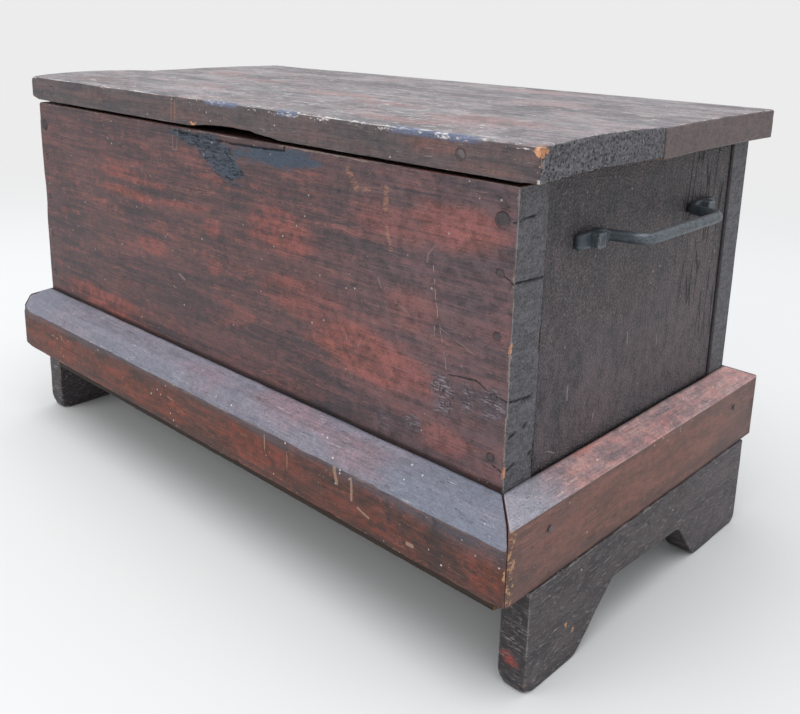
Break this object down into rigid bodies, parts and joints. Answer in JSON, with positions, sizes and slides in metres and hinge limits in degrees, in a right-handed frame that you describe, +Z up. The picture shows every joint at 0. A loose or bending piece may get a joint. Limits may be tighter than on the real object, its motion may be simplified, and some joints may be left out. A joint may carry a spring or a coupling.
{
  "type": "plank chest",
  "caption": "Hinged-lid plank storage chest on a mitred plinth and arched runners, with an iron lifting handle at each end.",
  "frame": {"origin": "on the ground, under the middle of the chest", "axes": "+Z up, front towards -Y, +X to the right end with the chest seen from the front"},
  "size_m": [0.7332, 0.402, 0.4046],
  "materials": {
    "box_paint": "worn dark oxblood paint over plank, low sheen",
    "end_paint": "weathered grey-brown paint, dull",
    "floor_wood": "dirty bare plank",
    "plinth_paint": "worn brown paint with a greyed top slope",
    "runner_paint": "near black worn paint",
    "lid_paint": "worn grey-mauve over brown paint",
    "bare_wood": "aged unpainted pine",
    "peg_wood": "painted end grain",
    "hinge_iron": "rusty iron",
    "handle_iron": "blue-grey painted iron, worn on the grip",
    "nail_iron": "dark rusted iron"
  },
  "bodies": {
    "chest": {"front_board": "box_paint", "back_board": "box_paint", "left_end_board": "end_paint", "right_end_board": "end_paint", "floor_board_1": "floor_wood", "floor_board_2": "floor_wood", "floor_board_3": "floor_wood", "plinth_front": "plinth_paint", "plinth_back": "plinth_paint", "plinth_left": "plinth_paint", "plinth_right": "plinth_paint", "runner_left": "runner_paint", "runner_right": "runner_paint", "hinge_body_leaf_left": "hinge_iron", "hinge_body_leaf_right": "hinge_iron", "hinge_pin_left": "hinge_iron", "hinge_pin_right": "hinge_iron", "hinge_body_screws_left": "hinge_iron", "hinge_body_screws_right": "hinge_iron", "handle_left": "handle_iron", "handle_right": "handle_iron", "handle_bolts_left": "handle_iron", "handle_bolts_right": "handle_iron", "corner_pegs": "peg_wood", "front_nails": "nail_iron", "back_nails": "nail_iron", "floor_nails": "nail_iron", "plinth_nails": "nail_iron", "runner_nails": "nail_iron"},
    "lid": {"lid_front_plank": "lid_paint", "lid_rear_plank": "lid_paint", "lid_batten_left": "bare_wood", "lid_batten_right": "bare_wood", "hinge_lid_leaf_left": "hinge_iron", "hinge_lid_leaf_right": "hinge_iron", "hinge_lid_screws_left": "hinge_iron", "hinge_lid_screws_right": "hinge_iron", "batten_nails": "nail_iron", "lid_edge_nails": "nail_iron"}
  },
  "joints": [
    {"name": "lid_hinge", "type": "hinge", "parent": "chest", "child": "lid", "pos_m": [0, 0.175, 0.3755], "axis": [-1, 0, 0], "range_deg": [0, 105]}
  ]
}
